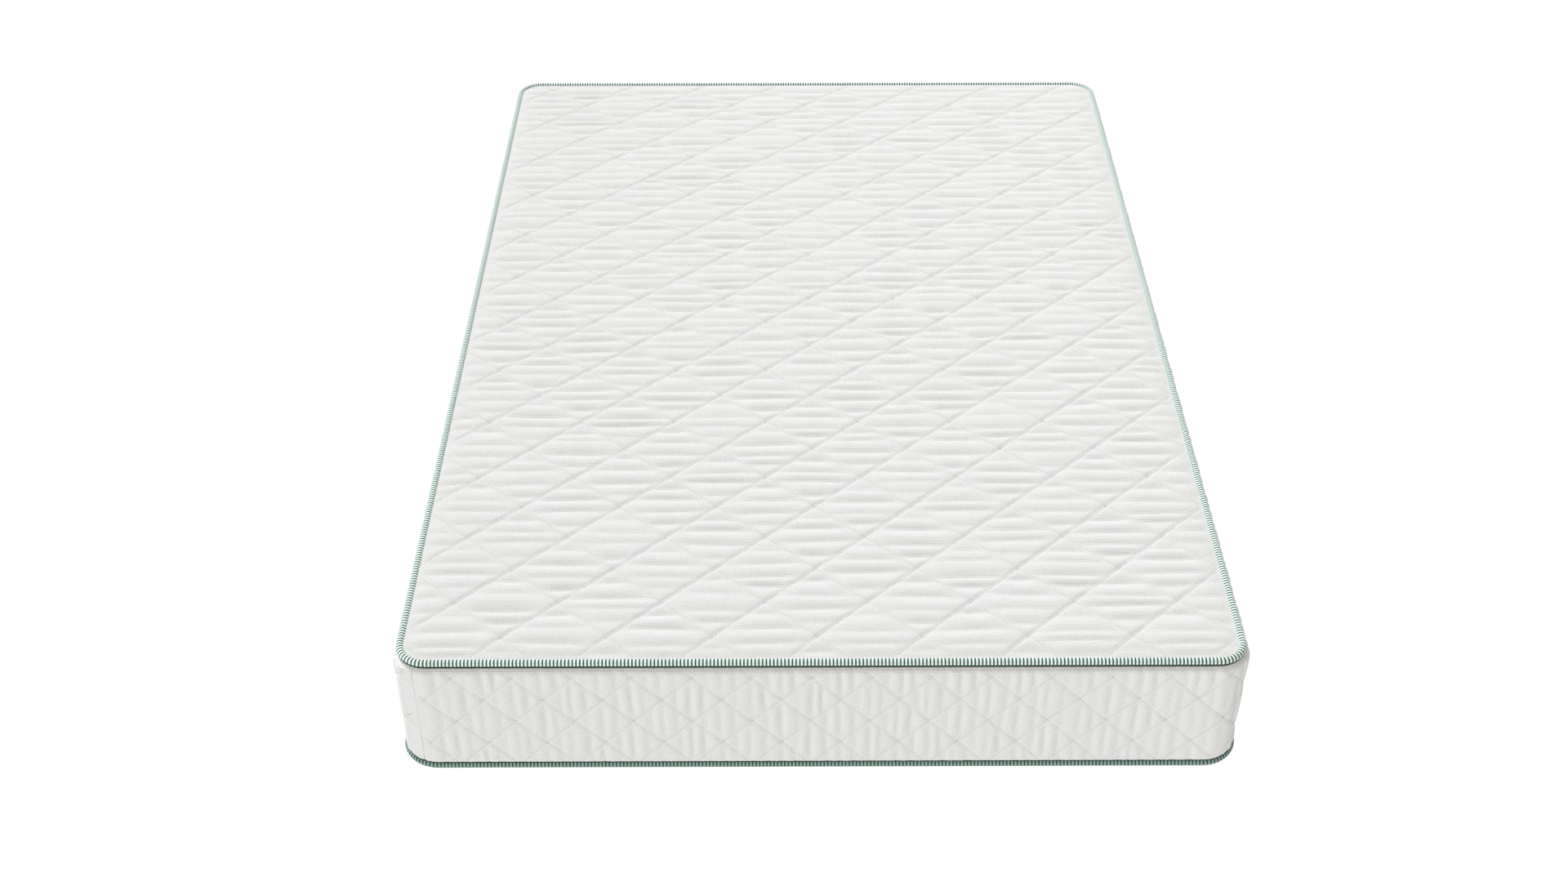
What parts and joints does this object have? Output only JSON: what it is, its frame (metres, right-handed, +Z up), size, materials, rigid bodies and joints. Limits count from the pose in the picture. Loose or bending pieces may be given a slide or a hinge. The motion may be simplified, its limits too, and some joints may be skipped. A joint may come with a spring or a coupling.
{
  "type": "memory foam mattress",
  "caption": "White double mattress with a layered foam core in a diamond-quilted zip cover, piped with striped round cord along its top and bottom edges.",
  "frame": {"origin": "middle of the underside, on the floor", "axes": "+X across the mattress, +Y along its length towards the head end with the zip, +Z up"},
  "size_m": [1.41, 2.01, 0.24],
  "materials": {
    "knit_face": "matte",
    "fibre_fill": "matte",
    "backing_fabric": "matte",
    "underside_fabric": "matte",
    "sock_knit": "matte",
    "base_polyfoam": "matte",
    "transition_polyfoam": "matte",
    "memory_polyfoam": "matte",
    "striped_piping_fabric": "matte",
    "filler_cord": "matte",
    "zip_tape": "matte",
    "zip_coil": "satin",
    "zip_metal": "satin",
    "label_satin": "satin"
  },
  "bodies": {
    "mattress": {"base_foam": "base_polyfoam", "transition_foam": "transition_polyfoam", "memory_foam": "memory_polyfoam", "fire_sock": "sock_knit", "top_panel_backing": "backing_fabric", "top_panel_fill": "fibre_fill", "top_panel_face": "knit_face", "border_face": "knit_face", "border_fill": "fibre_fill", "border_backing": "backing_fabric", "bottom_panel": "underside_fabric", "piping_top_cord": "filler_cord", "piping_top_sleeve": "striped_piping_fabric", "piping_bottom_cord": "filler_cord", "piping_bottom_sleeve": "striped_piping_fabric", "zip_tape_upper": "zip_tape", "zip_tape_lower": "zip_tape", "zip_chain_upper": "zip_coil", "zip_chain_lower": "zip_coil", "zip_top_stops": "zip_metal", "zip_bottom_stop": "zip_metal", "care_label": "label_satin"},
    "slider": {"zip_slider": "zip_metal"},
    "pull_tab": {"zip_pull_tab": "zip_metal"}
  },
  "joints": [
    {"name": "zip_slide", "type": "slide", "parent": "mattress", "child": "slider", "axis": [-1, 0, 0], "range_m": [0, 1.19]},
    {"name": "pull_tab_swing", "type": "hinge", "parent": "slider", "child": "pull_tab", "pos_m": [0.595, 1.00025, 0.0225], "axis": [0, 0, -1], "range_deg": [0, 180]}
  ]
}
